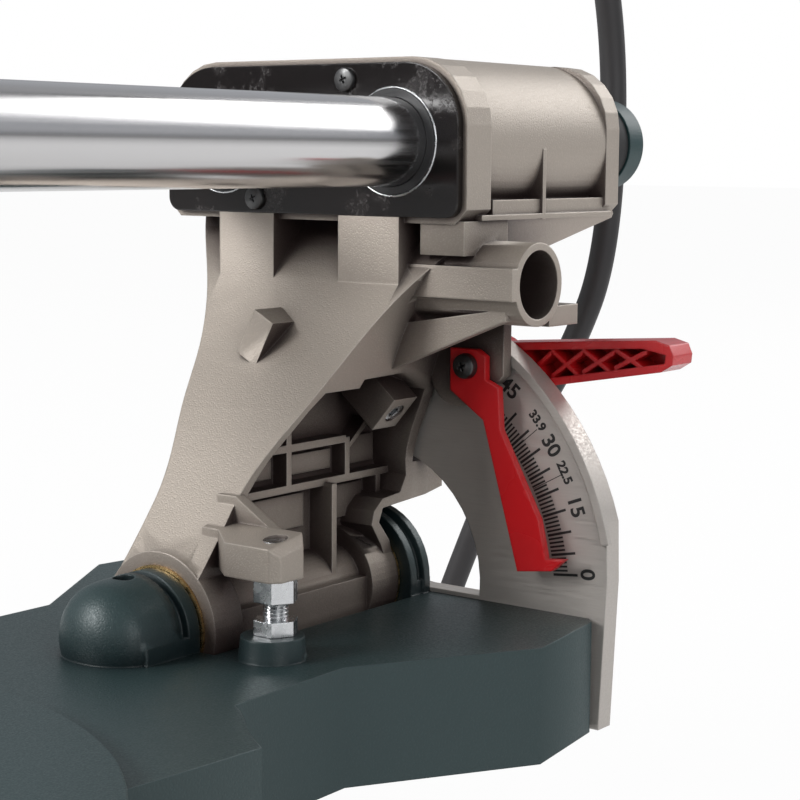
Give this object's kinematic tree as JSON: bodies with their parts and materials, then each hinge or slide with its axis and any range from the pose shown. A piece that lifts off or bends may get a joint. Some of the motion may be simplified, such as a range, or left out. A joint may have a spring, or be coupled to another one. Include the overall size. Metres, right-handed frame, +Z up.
{
  "type": "mitre saw",
  "caption": "Sliding compound mitre saw: bench base with fences, turntable, ribbed tilt arm, twin slide rails and a blade head with guard, motor and handle.",
  "frame": {"origin": "on the bench plane under the mitre pivot, midway between the four bench bolt holes", "axes": "+X to the operator's right, +Y away from the operator towards the arm, +Z up"},
  "size_m": [0.67, 1, 0.6148],
  "materials": {
    "green_casting": "dark green fine-textured paint on a die casting",
    "champagne_casting": "warm grey metallic paint on a die casting",
    "black_rubber": "moulded black rubber",
    "cord_black": "smooth black cord jacket and plug",
    "aluminium": "brushed aluminium",
    "chrome": "polished chrome",
    "steel": "bright zinc-plated and ground steel",
    "brass": "turned brass",
    "red_plastic": "red moulded plastic",
    "black_plastic": "black moulded plastic",
    "green_plastic": "dark green moulded plastic",
    "clear_plastic": "clear smoked plastic",
    "clamp_casting": "black painted casting"
  },
  "bodies": {
    "base": {"base_casting": "green_casting", "rubber_feet": "black_rubber", "pivot_bolt": "steel", "mitre_scale": "aluminium", "fence_left": "aluminium", "fence_right": "aluminium"},
    "left_sliding_fence": {"sliding_fence_left": "aluminium"},
    "right_sliding_fence": {"sliding_fence_right": "aluminium"},
    "left_extension": {"extension_bar_left": "steel"},
    "right_extension": {"extension_bar_right": "steel"},
    "clamp": {"clamp_arm": "clamp_casting"},
    "clamp_foot": {"clamp_pad": "black_plastic"},
    "clamp_spindle": {"clamp_screw": "steel"},
    "table": {"turntable": "green_casting", "kerf_inserts": "red_plastic", "mitre_pointer": "red_plastic", "tilt_axle": "steel", "sector_plate": "aluminium", "sector_bolts": "steel", "cord_lead_lower": "cord_black", "cord_coil": "cord_black", "mains_plug": "cord_black"},
    "handle_knob": {"mitre_handle": "black_plastic"},
    "detent": {"detent_lever": "steel"},
    "arm": {"tilt_arm": "champagne_casting", "cover_plate": "black_plastic", "cover_plate_screws": "steel", "rail_bearings": "steel", "rail_wipers": "black_plastic", "pivot_bushes": "brass", "tilt_pointer": "red_plastic", "pointer_screw": "steel", "tilt_stop_bolts": "steel", "tilt_stop_nuts": "steel", "lug_screw": "steel", "tilt_clamp_bolt": "steel", "cord_lead_upper": "cord_black"},
    "lever": {"tilt_lever": "red_plastic"},
    "slide_lock": {"slide_lock_knob": "black_plastic"},
    "carriage": {"slide_rails": "chrome", "rail_bumpers": "black_rubber", "rail_end_caps": "green_casting", "rail_bracket": "green_casting", "chop_axle": "steel", "return_spring": "steel", "cord_gland": "black_rubber"},
    "lock_pin": {"head_lock_pin": "steel"},
    "head": {"upper_guard": "champagne_casting", "motor_housing": "green_plastic", "motor_cap": "black_plastic", "brush_caps": "black_plastic", "head_handle": "black_plastic"},
    "swing_guard": {"lower_guard": "clear_plastic"},
    "blade": {"saw_blade": "steel", "arbor_spindle": "steel", "arbor_bolt": "steel"},
    "rotor": {"armature": "steel"},
    "switch": {"trigger": "red_plastic"},
    "lock_off": {"lock_off_button": "black_plastic"},
    "spindle_lock": {"spindle_lock_button": "black_plastic"}
  },
  "joints": [
    {"name": "left_fence_slide", "type": "slide", "parent": "base", "child": "left_sliding_fence", "axis": [-1, 0, 0], "range_m": [0, 0.06]},
    {"name": "right_fence_slide", "type": "slide", "parent": "base", "child": "right_sliding_fence", "axis": [1, 0, 0], "range_m": [0, 0.06]},
    {"name": "left_extension_slide", "type": "slide", "parent": "base", "child": "left_extension", "axis": [-1, 0, 0], "range_m": [0, 0.06]},
    {"name": "right_extension_slide", "type": "slide", "parent": "base", "child": "right_extension", "axis": [1, 0, 0], "range_m": [0, 0.06]},
    {"name": "clamp_swing", "type": "hinge", "parent": "base", "child": "clamp", "pos_m": [-0.235, 0.025, 0.15], "axis": [0, 0, -1], "range_deg": [-48, 48]},
    {"name": "clamp_feed", "type": "slide", "parent": "clamp", "child": "clamp_foot", "axis": [0, 0, -1], "range_m": [0, 0.041]},
    {"name": "clamp_turn", "type": "hinge", "parent": "clamp_foot", "child": "clamp_spindle", "pos_m": [-0.235, -0.043, 0.2], "axis": [0, 0, -1], "range_deg": [0, 3000]},
    {"name": "mitre_swing", "type": "hinge", "parent": "base", "child": "table", "pos_m": [0, 0, 0.088], "axis": [0, 0, 1], "range_deg": [-47, 47]},
    {"name": "handle_turn", "type": "hinge", "parent": "table", "child": "handle_knob", "pos_m": [0, -0.312, 0.062], "axis": [0, 1, 0], "range_deg": [0, 180]},
    {"name": "detent_press", "type": "hinge", "parent": "table", "child": "detent", "pos_m": [0, -0.25, 0.039], "axis": [1, 0, 0], "range_deg": [0, 7.5], "stiffness_Nm_per_rad": 2, "springref_deg": -11.46},
    {"name": "tilt", "type": "hinge", "parent": "table", "child": "arm", "pos_m": [0, 0.315, 0.088], "axis": [0, -1, 0], "range_deg": [0, 45], "deforming": ["cord_lead_lower"]},
    {"name": "tilt_lever_turn", "type": "hinge", "parent": "arm", "child": "lever", "pos_m": [0.04131, 0.3722, 0.1657], "axis": [0, -1, 0], "range_deg": [0, 45]},
    {"name": "slide_lock_turn", "type": "hinge", "parent": "arm", "child": "slide_lock", "pos_m": [-0.085, 0.4091, 0.2474], "axis": [1, 0, 0], "range_deg": [0, 180]},
    {"name": "carriage_slide", "type": "slide", "parent": "arm", "child": "carriage", "axis": [0, 1, 0], "range_m": [0, 0.28], "deforming": ["cord_lead_upper"]},
    {"name": "lock_pin_pull", "type": "slide", "parent": "carriage", "child": "lock_pin", "axis": [1, 0, 0], "range_m": [0, 0.009]},
    {"name": "chop", "type": "hinge", "parent": "carriage", "child": "head", "pos_m": [0, 0.001, 0.297], "axis": [1, 0, 0], "range_deg": [0, 38], "stiffness_Nm_per_rad": 16, "springref_deg": -68.75},
    {"name": "guard_swing", "type": "hinge", "parent": "head", "child": "swing_guard", "pos_m": [0, -0.24415, 0.37305], "axis": [1, 0, 0], "range_deg": [-128, 0]},
    {"name": "blade_spin", "type": "hinge", "parent": "head", "child": "blade", "pos_m": [0, -0.24415, 0.37305], "axis": [1, 0, 0], "continuous": true},
    {"name": "armature_spin", "type": "hinge", "parent": "head", "child": "rotor", "pos_m": [0, -0.20936, 0.37696], "axis": [1, 0, 0], "continuous": true},
    {"name": "trigger_pull", "type": "hinge", "parent": "head", "child": "switch", "pos_m": [0, -0.29417, 0.58028], "axis": [-1, 0, 0], "range_deg": [0, 6], "stiffness_Nm_per_rad": 1, "springref_deg": -8.59},
    {"name": "lock_off_press", "type": "slide", "parent": "head", "child": "lock_off", "axis": [-1, 0, 0], "range_m": [0, 0.004], "stiffness_N_per_m": 300, "springref_m": -0.002},
    {"name": "spindle_lock_press", "type": "slide", "parent": "head", "child": "spindle_lock", "axis": [0, -0.6157, -0.788], "range_m": [0, 0.003], "stiffness_N_per_m": 400, "springref_m": -0.002}
  ],
  "couplings": [
    {"joint": "clamp_turn", "follows": "clamp_feed", "rad_per_m": 1256.6},
    {"joint": "guard_swing", "follows": "chop", "ratio": -3.35},
    {"joint": "armature_spin", "follows": "blade_spin", "ratio": -4}
  ]
}
